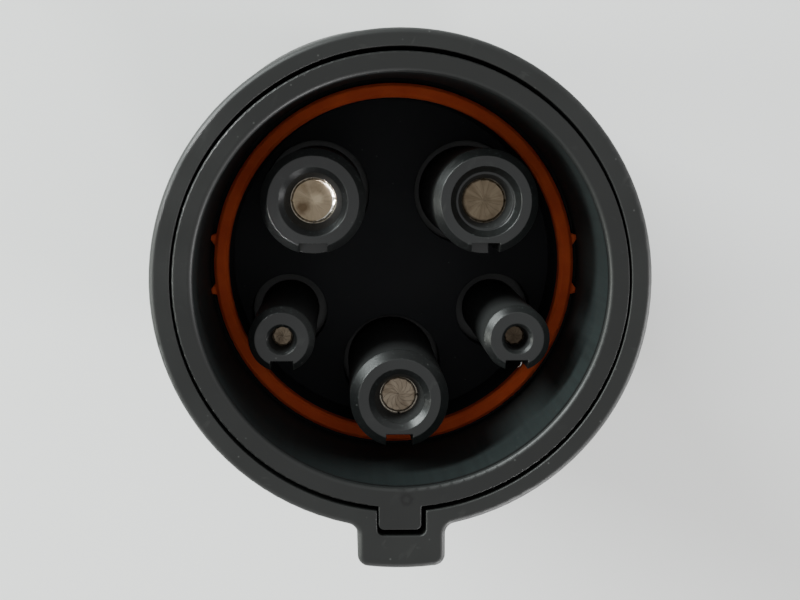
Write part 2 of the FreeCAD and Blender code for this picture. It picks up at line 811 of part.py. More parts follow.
for i, (x, y) in enumerate(flange_spots):
    tools.append(cyl("wall_hole_%d" % i, small_hole, "recess_top - 1", "1 + rear_wall_thick*0.9", x, y))
keep("rear_housing", cut("rear_housing_cut", rear, tools))

# inlet socket: flange, oval cavity and floor with five pin holes
flange = cyl("inlet_flange", "flange_radius", "0", "flange_thick")
socket_outer = hull("inlet_outer", val["socket_wall"], "0", "socket_back")
pins = [
    ("power_1", "line", "power_pin", "0 - power_x", "power_y"),
    ("power_2", "line", "power_pin", "power_x", "power_y"),
    ("ground", "earth", "ground_pin", None, "0 - ground_y"),
    ("pilot", "signal", "pilot_pin", "0 - pilot_x", "0 - pilot_y"),
    ("proximity", "signal", "pilot_pin", "pilot_x", "0 - pilot_y"),
]
retainer_spots = [(None, "retainer_screw_top"), (None, "0 - retainer_screw_low")]
tools = [hull("inlet_cavity", 0.0, "0 - 1", "socket_depth + 1")]
for tag, kind, size, x, y in pins:
    tools.append(cyl("inlet_hole_" + tag, size + " + pin_shoulder + fit_play", "socket_depth - 1",
                     "socket_floor_thick + 2", x, y))
for i, (x, y) in enumerate(flange_spots):
    tools.append(cyl("flange_hole_%d" % i, small_hole, "0 - 1", "flange_thick + 2", x, y))
    tools.append(cyl("flange_sink_%d" % i, "small_head + fit_play*3", "0 - 1",
                     "small_head_thick + 1.2", x, y))
for i, (x, y) in enumerate(retainer_spots):
    tools.append(cyl("floor_screw_hole_%d" % i, small_hole, "socket_back - socket_floor_thick*0.65",
                     "socket_floor_thick", x, y))
keep("inlet_socket", cut("inlet_socket_cut", fuse("inlet_solid", [flange, socket_outer]), tools))

# flat gasket between the inlet flange and the rear housing
tools = [hull("gasket_opening", val["socket_wall"] + val["fit_play"], "flange_thick - 1", "gasket_thick + 2")]
for i, (x, y) in enumerate(flange_spots):
    tools.append(cyl("gasket_hole_%d" % i, small_hole, "flange_thick - 1", "gasket_thick + 2", x, y))
gasket = cyl("gasket_disc", "flange_radius", "flange_thick", "gasket_thick")
keep("inlet_gasket", cut("inlet_gasket_cut", gasket, tools))

# four small screws in the rear flange
screws = []
for i, (x, y) in enumerate(flange_spots):
    shank = cyl("flange_screw_shank_%d" % i, "small_screw", "small_head_thick",
                "recess_top - small_head_thick + rear_wall_thick*0.8", x, y)
    head = cyl("flange_screw_head_%d" % i, "small_head", "0.2", "small_head_thick", x, y)
    socket = cyl("flange_screw_socket_%d" % i, "small_head*0.42", "0 - 1", "small_head_thick*0.7 + 1", x, y)
    screws.append(cut("flange_screw_%d" % i, fuse("flange_screw_solid_%d" % i, [shank, head]), [socket]))
keep("inlet_screws", group("inlet_screws_group", screws))

# male pins of the inlet with their insulating tip caps
for tag, kind, size, x, y in pins:
    turned = lathe("pin_turned_" + tag, [
        ("0", "pin_recess - peg_length"),
        (size + "*0.5", "pin_recess - peg_length"),
        (size + "*0.5", "pin_recess"),
        (size, "pin_recess"),
        (size, "socket_depth"),
        (size + " + pin_shoulder", "socket_depth"),
        (size + " + pin_shoulder", "socket_back"),
        (size + " + pin_collar", "socket_back"),
        (size + " + pin_collar", "socket_back + collar_thick"),
        (kind + "_barrel", "socket_back + collar_thick"),
        (kind + "_barrel", "pin_end"),
        (kind + "_wire + wire_play", "pin_end"),
        (kind + "_wire + wire_play", "pin_end - crimp_depth"),
        ("0", "pin_end - crimp_depth"),
    ])
    keep("inlet_pin_" + tag, turned, x, y)
    cap = lathe("cap_turned_" + tag, [
        (size + "*0.5 + screw_play", "pin_recess"),
        (size, "pin_recess"),
        (size, "cap_end + cap_round"),
        (size + " - cap_round", "cap_end"),
        ("0", "cap_end"),
        ("0", "pin_recess - peg_length"),
        (size + "*0.5 + screw_play", "pin_recess - peg_length"),
    ])
    keep("pin_cap_" + tag, cap, x, y)

# retainer plate over the pin collars, and its two screws
tools = []
for tag, kind, size, x, y in pins:
    tools.append(cyl("retainer_seat_" + tag, size + " + pin_collar + fit_play", "socket_back - 1",
                     "collar_thick + 1", x, y))
    tools.append(cyl("retainer_hole_" + tag, kind + "_barrel + fit_play", "socket_back",
                     "retainer_thick + 1", x, y))
for i, (x, y) in enumerate(retainer_spots):
    tools.append(cyl("retainer_screw_hole_%d" % i, small_hole, "socket_back - 1", "retainer_thick + 2", x, y))
keep("pin_retainer", cut("pin_retainer_cut", hull("retainer_blank", val["socket_wall"], "socket_back",
                                                  "retainer_thick"), tools))
screws = []
for i, (x, y) in enumerate(retainer_spots):
    shank = cyl("retainer_screw_shank_%d" % i, "small_screw", "socket_back - socket_floor_thick*0.6",
                "retainer_thick + socket_floor_thick*0.6", x, y)
    head = cyl("retainer_screw_head_%d" % i, "small_head", "retainer_top", "small_head_thick", x, y)
    socket = cyl("retainer_screw_socket_%d" % i, "small_head*0.42", "retainer_top + small_head_thick*0.4",
                 "small_head_thick", x, y)
    screws.append(cut("retainer_screw_%d" % i, fuse("retainer_screw_solid_%d" % i, [shank, head]), [socket]))
keep("retainer_screws", group("retainer_screws_group", screws))

# covered wires from the inlet pins to the front contacts, each a double bend of two equal arcs
for front_end, back_end in zip(contacts, pins):
    tag, kind, front_x, front_y = front_end
    back_x, back_y = back_end[3], back_end[4]
    low = number("pin_end")
    high = number("contact_end")
    start = Vector(number(back_x) if back_x else 0.0, number(back_y), low)
    end = Vector(number(front_x) if front_x else 0.0, number(front_y), high)
    across = Vector(end.x - start.x, end.y - start.y, 0)
    side = Vector(across).normalize()
    rise = high - low
    radius = (rise ** 2 + across.Length ** 2) / (4 * across.Length)
    sweep = math.asin(rise / 2 / radius)
    turn = radius * (1 - math.cos(sweep / 2))
    climb = Vector(0, 0, radius * math.sin(sweep / 2))
    middle = (start + end) * 0.5
    lower = Part.Arc(start, start + side * turn + climb, middle).toShape()
    upper = Part.Arc(middle, end - side * turn - climb, end).toShape()
    section = Part.Wire(Part.makeCircle(number(kind + "_cover"), start))
    cover = Part.Wire([lower, upper]).makePipeShell([section], True, False)
    bare = val[kind + "_wire"]
    sink = val["crimp_depth"]
    tail = Part.makeCylinder(bare, sink + 1, start - Vector(0, 0, sink))
    head = Part.makeCylinder(bare, sink + 1, end - Vector(0, 0, 1))
    wire = doc.addObject("Part::Feature", "wire_shape_" + tag)
    wire.Shape = cover.fuse([tail, head]).removeSplitter()
    keep("wire_" + tag, wire)

# sealing ring on the spigot
o_ring = doc.addObject("Part::Torus", "o_ring")
bind(o_ring, "Radius1", q("ring_groove + ring_depth*0.5 + fit_play*0.5"))
bind(o_ring, "Radius2", q("ring_depth*0.5 + fit_play*0.5"))
bind(o_ring, "Placement.Base.z", q("ring_height"))
keep("housing_seal_ring", o_ring)

# three side screws with sunk heads
screws = []
for a in side_angles:
    shank = side_tool("side_screw_shank_%d" % a, "plate_screw", "shelf_bore + side_skin + fit_play",
                      "body_radius - side_head + 0.2", a)
    head = side_tool("side_screw_head_%d" % a, "plate_head", "body_radius - side_head",
                     "body_radius - side_head*0.25", a)
    socket = side_tool("side_screw_socket_%d" % a, "plate_head*0.42", "body_radius - side_head*0.7",
                       "body_radius", a)
    screws.append(cut("side_screw_%d" % a, fuse("side_screw_solid_%d" % a, [shank, head]), [socket]))
keep("housing_screws", group("housing_screws_group", screws))

doc.recompute()
for obj in doc.Objects:
    bad = [s for s in obj.State if s in ("Invalid", "Error")]
    if bad:
        raise RuntimeError("%s is not computed: %s" % (obj.Label, bad))
for label in sorted(nodes):
    shape = nodes[label].Shape
    if shape.isNull() or not shape.isValid():
        raise RuntimeError("%s has no valid shape" % label)
    shape.exportStep("parts/" + label + ".step")
    size = shape.BoundBox
    print(label, len(shape.Solids), round(shape.Volume, 1),
          [round(v, 2) for v in (size.XMin, size.XMax, size.YMin, size.YMax, size.ZMin, size.ZMax)])
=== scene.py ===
import json
import math

import bpy
from mathutils import Matrix, Vector


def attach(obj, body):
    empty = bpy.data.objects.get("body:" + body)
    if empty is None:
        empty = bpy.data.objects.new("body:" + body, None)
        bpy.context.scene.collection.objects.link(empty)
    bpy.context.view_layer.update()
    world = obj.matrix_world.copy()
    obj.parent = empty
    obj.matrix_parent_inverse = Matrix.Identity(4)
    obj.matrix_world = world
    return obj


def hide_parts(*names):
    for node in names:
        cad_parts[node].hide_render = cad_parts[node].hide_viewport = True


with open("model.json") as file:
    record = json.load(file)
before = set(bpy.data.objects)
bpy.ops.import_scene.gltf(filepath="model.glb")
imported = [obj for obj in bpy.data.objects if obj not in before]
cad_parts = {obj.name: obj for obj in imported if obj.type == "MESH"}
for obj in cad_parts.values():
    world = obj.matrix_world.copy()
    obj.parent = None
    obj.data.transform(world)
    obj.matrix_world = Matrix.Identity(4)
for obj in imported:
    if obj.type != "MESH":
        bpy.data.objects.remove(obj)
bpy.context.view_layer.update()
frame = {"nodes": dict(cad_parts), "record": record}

MM = 0.001
nodes = frame["nodes"]


# sRGB hex to the linear colour that a shader takes
def linear(text):
    parts = [int(text[i:i + 2], 16) / 255.0 for i in (0, 2, 4)]
    return [c / 12.92 if c <= 0.04045 else ((c + 0.055) / 1.055) ** 2.4 for c in parts] + [1.0]


# one node with its settings, its input values and what is linked into it
def add(tree, kind, settings=None, values=None, links=None):
    node = tree.nodes.new(kind)
    for name, value in (settings or {}).items():
        setattr(node, name, value)
    for key, value in (values or {}).items():
        node.inputs[key].default_value = value
    for key, socket in (links or {}).items():
        tree.links.new(socket, node.inputs[key])
    return node


def new_material(name):
    material = bpy.data.materials.new(name)
    material.use_nodes = True
    tree = material.node_tree
    tree.nodes.clear()
    where = tree.nodes.new("ShaderNodeTexCoord")
    return material, tree, where.outputs["Object"]


def shade_with(tree, shader):
    output = tree.nodes.new("ShaderNodeOutputMaterial")
    tree.links.new(shader.outputs[0], output.inputs["Surface"])


def noise_at(tree, place, size_mm, detail=3.0):
    noise = add(tree, "ShaderNodeTexNoise", links={"Vector": place},
                values={"Scale": 1.0 / (size_mm * MM), "Detail": detail})
    return noise.outputs["Fac"]


def ramp(tree, socket, stops):
    node = add(tree, "ShaderNodeValToRGB", links={"Fac": socket})
    elements = node.color_ramp.elements
    while len(elements) < len(stops):
        elements.new(0.5)
    for element, (position, colour) in zip(elements, stops):
        element.position = position
        element.color = linear(colour)
    return node.outputs["Color"]


# low where the socket is at start or under it, high where it is at end or over it
def spread(tree, socket, low, high, start=0.0, end=1.0):
    node = add(tree, "ShaderNodeMapRange", links={"Value": socket},
               values={"From Min": start, "From Max": end, "To Min": low, "To Max": high})
    return node.outputs["Result"]


def math_of(tree, operation, first, second=0.0):
    node = add(tree, "ShaderNodeMath", settings={"operation": operation})
    for slot, value in ((0, first), (1, second)):
        if isinstance(value, (int, float)):
            node.inputs[slot].default_value = value
        else:
            tree.links.new(value, node.inputs[slot])
    return node.outputs[0]


def blend(tree, factor, first, second):
    node = add(tree, "ShaderNodeMix", settings={"data_type": "RGBA"}, links={"Factor": factor})
    for slot, value in ((6, first), (7, second)):
        if isinstance(value, str):
            node.inputs[slot].default_value = linear(value)
        else:
            tree.links.new(value, node.inputs[slot])
    return node.outputs[2]


def distance_to(tree, place, spot_mm):
    away = add(tree, "ShaderNodeVectorMath", settings={"operation": "DISTANCE"}, links={0: place},
               values={1: tuple(v * MM for v in spot_mm)})
    return away.outputs["Value"]


# the distance to a spot with some noise in it, so that a mark drawn with it gets a ragged border
def ragged_distance(tree, place, spot_mm, noise_mm, sway_mm):
    sway = spread(tree, noise_at(tree, place, noise_mm), -sway_mm * MM, sway_mm * MM)
    return math_of(tree, "ADD", distance_to(tree, place, spot_mm), sway)


# fine scratches: a noise squeezed along one axis, of which only the crests count
def scratches(tree, place, size_mm, squeeze, turn):
    turned = add(tree, "ShaderNodeMapping", links={"Vector": place}, values={"Rotation": turn})
    node = add(tree, "ShaderNodeMapping", links={"Vector": turned.outputs["Vector"]},
               values={"Scale": tuple(s / (size_mm * MM) for s in squeeze)})
    noise = add(tree, "ShaderNodeTexNoise", links={"Vector": node.outputs["Vector"]},
                values={"Scale": 1.0, "Detail": 0.0, "Distortion": 0.6})
    return spread(tree, noise.outputs["Fac"], 0.0, 1.0, 0.66, 0.7)


# fine streaks that run along an upright axis, as a tool or a mould's core draws them
def streaks(tree, place, centre, lines, run_mm):
    moved = add(tree, "ShaderNodeMapping", links={"Vector": place},
                values={"Location": (-centre[0] * MM, -centre[1] * MM, 0.0)})
    parts = add(tree, "ShaderNodeSeparateXYZ", links={"Vector": moved.outputs["Vector"]})
    flat = add(tree, "ShaderNodeCombineXYZ", links={"X": parts.outputs["X"], "Y": parts.outputs["Y"]})
    side = add(tree, "ShaderNodeVectorMath", settings={"operation": "NORMALIZE"},
               links={0: flat.outputs["Vector"]})
    wide = add(tree, "ShaderNodeVectorMath", settings={"operation": "SCALE"},
               links={0: side.outputs["Vector"]}, values={"Scale": lines})
    rise = math_of(tree, "DIVIDE", parts.outputs["Z"], run_mm * MM)
    up = add(tree, "ShaderNodeCombineXYZ", links={"Z": rise})
    along = add(tree, "ShaderNodeVectorMath", settings={"operation": "ADD"},
                links={0: wide.outputs["Vector"], 1: up.outputs["Vector"]})
    noise = add(tree, "ShaderNodeTexNoise", values={"Scale": 1.0, "Detail": 3.0},
                links={"Vector": along.outputs["Vector"]})
    return noise.outputs["Fac"]


def rounded_normal(tree, radius_mm):
    soft = add(tree, "ShaderNodeBevel", settings={"samples": 6}, values={"Radius": radius_mm * MM})
    return soft.outputs["Normal"]


# where a piece has an edge: the rounded normal there leans away from the true one
def edge_mask(tree, rounded):
    true = tree.nodes.new("ShaderNodeNewGeometry")
    lean = add(tree, "ShaderNodeVectorMath", settings={"operation": "DOT_PRODUCT"},
               links={0: rounded, 1: true.outputs["Normal"]})
    return spread(tree, lean.outputs["Value"], 1.0, 0.0, 0.86, 0.99)


def bumpy(tree, height, depth_mm, normal, strength=0.5):
    bump = add(tree, "ShaderNodeBump", values={"Strength": strength, "Distance": depth_mm * MM},
               links={"Height": height, "Normal": normal})
    return bump.outputs["Normal"]


# heights in the cup over the rear face in millimetres: the rim, the band of painted shade below its lip, the
# level under which the walls get drier, and the band in which their tone gives way to that of the floor
RIM = 122.0
LIP_SHADE_END, LIP_SHADE_START = 120.0, 120.8
DRY_START = 116.0
FLOOR_TOP, FLOOR_FULL = 102.0, 99.0
# what settles on moulded pieces: nearly black grime, also used for the painted shade below the lip of the
# cup, and pale dust
GRIME_AND_SHADE = "040404"
DUST = "8d8f8c"


# moulded thermoplastic: a spark-eroded grain drawn as coarse as the picture can show, flow clouds a few
# millimetres wide, edges rubbed a little lighter, bevels and rounds handled dull, thin scuffs, and a few
# specks of pale dust. What is drawn has two tones along its walls, lighter than the rim as painted light,
# and one on its floor
def moulded(name, dark, light, rubbed, rough, grain_mm, grain_depth_mm, edge_mm, ior=1.5, dust=0.0,
            wear=0.8, handled=0.0, sides=0.0, smudge=None, drawn=None, brushed=None):
    material, tree, place = new_material(name)
    cloud = noise_at(tree, place, 7.0)
    tone = ramp(tree, cloud, [(0.35, dark), (0.65, light)])
    face = tree.nodes.new("ShaderNodeNewGeometry")
    facing = add(tree, "ShaderNodeSeparateXYZ", links={"Vector": face.outputs["Normal"]}).outputs["Z"]
    if drawn:
        # upright walls are streaked along the draw of the core, in a lighter teal tone than the rim that is
        # painted light, and a line of painted shade lies below the lip
        upright = spread(tree, math_of(tree, "ABSOLUTE", facing), 1.0, 0.0, 0.1, 0.6)
        lines = ramp(tree, streaks(tree, place, (0.0, 0.0), 34.0, 40.0), [(0.3, drawn[0]), (0.7, drawn[1])])
        tone = blend(tree, upright, tone, lines)
        height = add(tree, "ShaderNodeSeparateXYZ", links={"Vector": place}).outputs["Z"]
        # a band just below the lip is darkened to the grime tone: painted shade under the lip
        lip_shade_band = spread(tree, height, 0.0, 1.0, LIP_SHADE_END * MM, LIP_SHADE_START * MM)
        tone = blend(tree, math_of(tree, "MULTIPLY", upright, lip_shade_band), tone, GRIME_AND_SHADE)
        # the deep end of the cup is drier, and its floor has a tone of its own
        deep = spread(tree, height, 1.0, 0.0, FLOOR_FULL * MM, DRY_START * MM)
        tone = blend(tree, spread(tree, height, 1.0, 0.0, FLOOR_FULL * MM, FLOOR_TOP * MM), tone, drawn[2])
    normal = rounded_normal(tree, edge_mm)
    edge = edge_mask(tree, normal)
    worn = math_of(tree, "MULTIPLY", edge, spread(tree, noise_at(tree, place, 1.1), 0.0, wear, 0.42, 0.62))
    tone = blend(tree, worn, tone, rubbed)
    first = scratches(tree, place, 0.45, (1.0, 0.09, 0.35), (0.5, 0.3, 0.62))
    second = scratches(tree, place, 0.38, (0.11, 1.0, 0.6), (0.35, 0.5, 0.28))
    rare = spread(tree, noise_at(tree, place, 2.3), 0.0, 1.0, 0.56, 0.66)
    scuff = math_of(tree, "MULTIPLY", math_of(tree, "MAXIMUM", first, second), rare)
    tone = blend(tree, math_of(tree, "MULTIPLY", scuff, 0.3), tone, rubbed)
    if dust:
        specks = add(tree, "ShaderNodeTexVoronoi", links={"Vector": place},
                     values={"Scale": 1.0 / (1.6 * MM)})
        near = spread(tree, specks.outputs["Distance"], dust, 0.0, 0.0, 0.07)
        tone = blend(tree, near, tone, DUST)
    if smudge:
        # a ragged ring of grime, as a gate or an ejector leaves
        spot, ring_mm = smudge
        ragged = ragged_distance(tree, place, spot, 0.35, 0.3)
        off_ring = math_of(tree, "ABSOLUTE", math_of(tree, "SUBTRACT", ragged, ring_mm * MM))
        tone = blend(tree, spread(tree, off_ring, 0.9, 0.0, 0.08 * MM, 0.3 * MM), tone, GRIME_AND_SHADE)
    grain = noise_at(tree, place, grain_mm, 2.0)
    relief = math_of(tree, "SUBTRACT", grain, math_of(tree, "MULTIPLY", scuff, 0.8))
    bump = bumpy(tree, relief, grain_depth_mm, normal)
    gloss = spread(tree, cloud, rough - 0.05, rough + 0.05)
    gloss = math_of(tree, "SUBTRACT", gloss, math_of(tree, "MULTIPLY", worn, 0.04))
    if sides:
        # the sides of a core are drier than its turned faces
        steep = spread(tree, math_of(tree, "ABSOLUTE", facing), sides, 0.0, 0.3, 0.5)
        gloss = math_of(tree, "ADD", gloss, steep)
    if drawn:
        gloss = math_of(tree, "ADD", gloss, math_of(tree, "MULTIPLY", deep, 0.4))
    if handled:
        slope = math_of(tree, "MULTIPLY", spread(tree, facing, 0.0, 1.0, 0.1, 0.3),
                        spread(tree, facing, 1.0, 0.0, 0.93, 0.99))
        gloss = math_of(tree, "ADD", gloss, math_of(tree, "MULTIPLY", slope, handled))
    if brushed:
        # the pins that slide over the lead-in cones leave fine pale nicks there
        fine = spread(tree, noise_at(tree, place, 0.22, 2.0), 0.0, 1.0, 0.62, 0.78)
        tone = blend(tree, math_of(tree, "MULTIPLY", slope, fine), tone, brushed)
    shader = add(tree, "ShaderNodeBsdfPrincipled", values={"IOR": ior},
                 links={"Base Color": tone, "Normal": bump, "Roughness": gloss})
    shade_with(tree, shader)
    return material


# polycarbonate blend housing from a spark-eroded mould: charcoal with a soft satin sheen
sleeve_blend = moulded("satin_polycarbonate_sleeve", "151615", "191a19", "2e2f2d", 0.33, 0.2, 0.012, 0.2,
                       dust=0.25, handled=0.16, sides=0.18)
# the same blend in the cup, a little smoother from the polished core, with the gate's mark on its rim, its
# walls painted lighter and teal as painted light and a band of painted shade below its lip
cup_blend = moulded("smooth_polycarbonate_cup", "111211", "131413", "202120", 0.32, 0.22, 0.008, 0.15,
                    dust=0.22, wear=0.3, handled=0.14, sides=0.2, smudge=((0.44, -19.13, RIM), 0.42),
                    drawn=("191f1f", "1f2626", "18191e"))
# glass-filled nylon tubes: grey black and drier, nicked by the pins that went in
tube_nylon = moulded("glass_filled_nylon_tubes", "131414", "181919", "2e302e", 0.3, 0.14, 0.012, 0.16,
                     ior=1.53, dust=0.3, handled=0.02, sides=0.35, brushed="3a403e")
# the same nylon torn thin: stress has whitened it
pale_flash = moulded("stress_whitened_nylon_flash", "6c6e6d", "868887", "a0a2a1", 0.36, 0.14, 0.006, 0.05,
                     ior=1.53)
# nylon inner plates: black and dry, their colour darkened further as painted shade at the bottom of the cup
floor_nylon = moulded("black_nylon_inner_plates", "040405", "070708", "101010", 0.85, 0.2, 0.012, 0.12,
                      ior=1.38)
# rear inlet in black polyamide
socket_nylon = moulded("black_polyamide_inlet", "111213", "17181a", "2e2f30", 0.45, 0.16, 0.012, 0.15,
                       ior=1.53, dust=0.2)
# acetal caps on the pin tips: pale and waxy
cap_acetal = moulded("pale_acetal_pin_caps", "c4c3bd", "d0cfc9", "dcdbd6", 0.38, 0.3, 0.006, 0.15, ior=1.48)


# compression moulded silicone: orange and dull, with a fine skin, light sinks into it a little
def silicone(name, dark, light, rubbed):
    material, tree, place = new_material(name)
    cloud = noise_at(tree, place, 3.0)
    tone = ramp(tree, cloud, [(0.35, dark), (0.65, light)])
    normal = rounded_normal(tree, 0.2)
    tone = blend(tree, math_of(tree, "MULTIPLY", edge_mask(tree, normal), 0.3), tone, rubbed)
    bump = bumpy(tree, noise_at(tree, place, 0.25, 2.0), 0.01, normal, 0.4)
    shader = add(tree, "ShaderNodeBsdfPrincipled",
                 values={"IOR": 1.41, "Subsurface Weight": 0.1, "Subsurface Scale": 0.4 * MM,
                         "Subsurface Radius": (1.0, 0.35, 0.12)},
                 links={"Base Color": tone, "Normal": bump, "Roughness": spread(tree, cloud, 0.8, 0.88)})
    shade_with(tree, shader)
    return material


orange_silicone = silicone("orange_silicone_seal", "cc5028", "dc5e30", "e0702c")


# pressed nitrile rubber: black and dull with a dusty bloom
def rubber(name, dark, light):
    material, tree, place = new_material(name)
    cloud = noise_at(tree, place, 4.0)
    tone = ramp(tree, cloud, [(0.35, dark), (0.65, light)])
    bump = bumpy(tree, cloud, 0.015, rounded_normal(tree, 0.15), 0.4)
    shader = add(tree, "ShaderNodeBsdfPrincipled", values={"IOR": 1.52},
                 links={"Base Color": tone, "Normal": bump, "Roughness": spread(tree, cloud, 0.62, 0.78)})
    shade_with(tree, shader)
    return material


nitrile = rubber("black_nitrile_rubber", "0e0e0e", "191918")

# the five contacts: the place of each axis and the radius of its bore in millimetres
contacts = {"line_1": (-7.75, 6.8, 1.8), "line_2": (7.75, 6.8, 1.8), "earth": (0.0, -11.1, 1.4),
            "pilot": (-10.65, -5.6, 0.75), "proximity": (10.65, -5.6, 0.75)}
# the level of the petals over the rear face in millimetres, at their outer end and about in their middle
PETAL_TOP = 114.12
PETAL_MIDDLE = 113.9


# metal turned on a lathe and plated: fine marks that run along a sleeve, and tarnish where nothing rubs
def plated(name, dark, light, tarnish, rough, centre=(0.0, 0.0), lines=9.0, run_mm=9.0, edge_mm=0.08,
           patches=(), polished=None):
    material, tree, place = new_material(name)
    marks = streaks(tree, place, centre, lines, run_mm)
    cloud = noise_at(tree, place, 1.4)
    tone = ramp(tree, marks, [(0.34, dark), (0.62, light)])
    tone = blend(tree, spread(tree, cloud, 0.0, 0.7, 0.5, 0.75), tone, tarnish)
    for spot, size_mm, colour in patches:
        ragged = ragged_distance(tree, place, spot, 0.5, 0.25)
        patch = spread(tree, ragged, 0.9, 0.0, size_mm * 0.4 * MM, size_mm * MM)
        tone = blend(tree, patch, tone, colour)
    gloss = spread(tree, marks, rough - 0.08, rough + 0.08)
    if polished:
        # on the far side of the mouth the petals are smoother and painted pale: a painted highlight
        spot, beyond_mm, colour = polished
        outer = spread(tree, distance_to(tree, place, spot), 0.0, 1.0, (beyond_mm - 0.04) * MM,
                       beyond_mm * MM)
        gloss = math_of(tree, "SUBTRACT", gloss, math_of(tree, "MULTIPLY", outer, 0.2))
        tone = blend(tree, outer, tone, colour)
    bump = bumpy(tree, marks, 0.01, rounded_normal(tree, edge_mm))
    shader = add(tree, "ShaderNodeBsdfPrincipled", values={"Metallic": 1.0},
                 links={"Base Color": tone, "Normal": bump, "Roughness": gloss})
    shade_with(tree, shader)
    return material


# silver plate on copper alloy, handled and slightly tarnished: warm grey
sleeves = {}
for tag, spot in contacts.items():
    sleeves[tag] = plated("silver_plated_sleeve_" + tag, "8f887c", "bbb3a6", "7d7468", 0.36, spot[:2])
# the petals in each, every contact in a tone of its own: those of the first contact are the lightest, those
# of the proximity contact the darkest
tints = {"line_1": ("93856f", "a79882", "76644f", 0.44), "line_2": ("675b4b", "7c705e", "54483a", 0.36),
         "earth": ("796d5e", "938777", "625547", 0.38), "pilot": ("746858", "8b7f6e", "5f5243", 0.4),
         "proximity": ("4a4035", "5d5245", "3c3229", 0.36)}
# a pale patch and a dark patch on the petals of the first contact
pale_and_dark_spots = [((-7.45, 6.95, PETAL_MIDDLE), 0.7, "c2b299"), ((-8.75, 6.15, PETAL_MIDDLE), 0.9, "65533f")]
# its petals are smoother and painted pale further out than this from a point just left of their middle: a
# painted highlight on their far edge
polished_highlight_side = ((-7.99, 6.83, 113.95), 1.98, "e2ddd2")
blades = {}
for tag, spot in contacts.items():
    marks_and_highlight = {"patches": pale_and_dark_spots, "polished": polished_highlight_side} if tag == "line_1" else {}
    blades[tag] = plated("silver_plated_petals_" + tag, *tints[tag], spot[:2], lines=3.0,
                         edge_mm=0.02 if tag.startswith("line") else 0.06, **marks_and_highlight)
silvered = plated("silver_plated_pins", "b3a48f", "d8ccb8", "8a765c", 0.34, run_mm=3.0)
# hard drawn spring steel: cool and bright
spring = plated("drawn_spring_steel", "a6a7a8", "bcbdbe", "7f7c78", 0.3)
# zinc plated screws: grey with a faint milky cast
zinc = plated("zinc_plated_steel", "85888b", "a9acae", "6f6d68", 0.38, run_mm=0.4)

finishes = {
    "charcoal_plastic": sleeve_blend,
    "cup_plastic": cup_blend,
    "tube_plastic": tube_nylon,
    "black_plastic": floor_nylon,
    "socket_plastic": socket_nylon,
    "cap_plastic": cap_acetal,
    "orange_silicone": orange_silicone,
    "black_rubber": nitrile,
    "silvered_copper": silvered,
    "spring_steel": spring,
    "screw_steel": zinc,
}
# soft extruded wire covers, each in its own colour
covers = {"brown": ("4d2a17", "573120", "6b4533"), "blue": ("1d4f96", "2459a3", "4f7cba"),
          "green": ("3f8a2c", "4b9735", "74b062"), "white": ("d2d2cf", "dcdcd9", "e6e6e4")}
for colour, tones in covers.items():
    finishes["wire_cover_" + colour] = moulded(colour + "_wire_cover", *tones, 0.45, 0.3, 0.006, 0.05)

for part in frame["record"]["subparts"]:
    node = nodes[part["node"]]
    node.data.materials.clear()
    node.data.materials.append(sleeves.get(part["node"].removeprefix("contact_"),
                                           finishes[part["material_slot"]]))


def start_piece():
    bpy.ops.object.select_all(action="DESELECT")


def edit_all():
    bpy.ops.object.mode_set(mode="EDIT")
    bpy.ops.mesh.select_all(action="SELECT")


def end_edit(sharp_degrees):
    bpy.ops.object.mode_set(mode="OBJECT")
    bpy.ops.object.shade_smooth_by_angle(angle=math.radians(sharp_degrees))


def settle(piece, name, material):
    piece.name = name
    piece.data.name = name
    piece.data.materials.clear()
    piece.data.materials.append(material)
    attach(piece, "root")


# the two shells again as closed meshes, so that light runs evenly along their rounded edges
def smooth_copy(name, slot):
    source = nodes[name]
    piece = source.copy()
    piece.data = source.data.copy()
    bpy.context.scene.collection.objects.link(piece)
    start_piece()
    piece.select_set(True)
    bpy.context.view_layer.objects.active = piece
    edit_all()
    bpy.ops.mesh.remove_doubles(threshold=0.002 * MM)
    bpy.ops.mesh.customdata_custom_splitnormals_clear()
    bpy.ops.mesh.normals_make_consistent(inside=False)
    end_edit(30)
    bpy.ops.object.modifier_add(type="WEIGHTED_NORMAL")
    evened = piece.modifiers[0]
    evened.keep_sharp = True
    evened.weight = 100
    bpy.ops.object.modifier_apply(modifier=evened.name)
    settle(piece, name + "_shell", finishes[slot])
    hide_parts(name)


smooth_copy("inner_cup", "cup_plastic")
smooth_copy("front_housing", "charcoal_plastic")

# spring petals: thin blades that curl in from the mouth of each contact and meet in a shallow disc.
# Each pair is a distance from the axis as a share of the mouth, and a depth as a share of the bore's radius
petal_profile = [(0.955, 0.055), (0.88, 0.119), (0.83, 0.128), (0.65, 0.132), (0.42, 0.132), (0.2, 0.127),
                 (0.012, 0.122)]
# the thickness of their sheet in millimetres, their width as a share of what would close the mouth, and the
# share of the mouth inside which they were pushed aside
SHEET = 0.035
OVERLAP = 1.06
LOOSE = 0.91


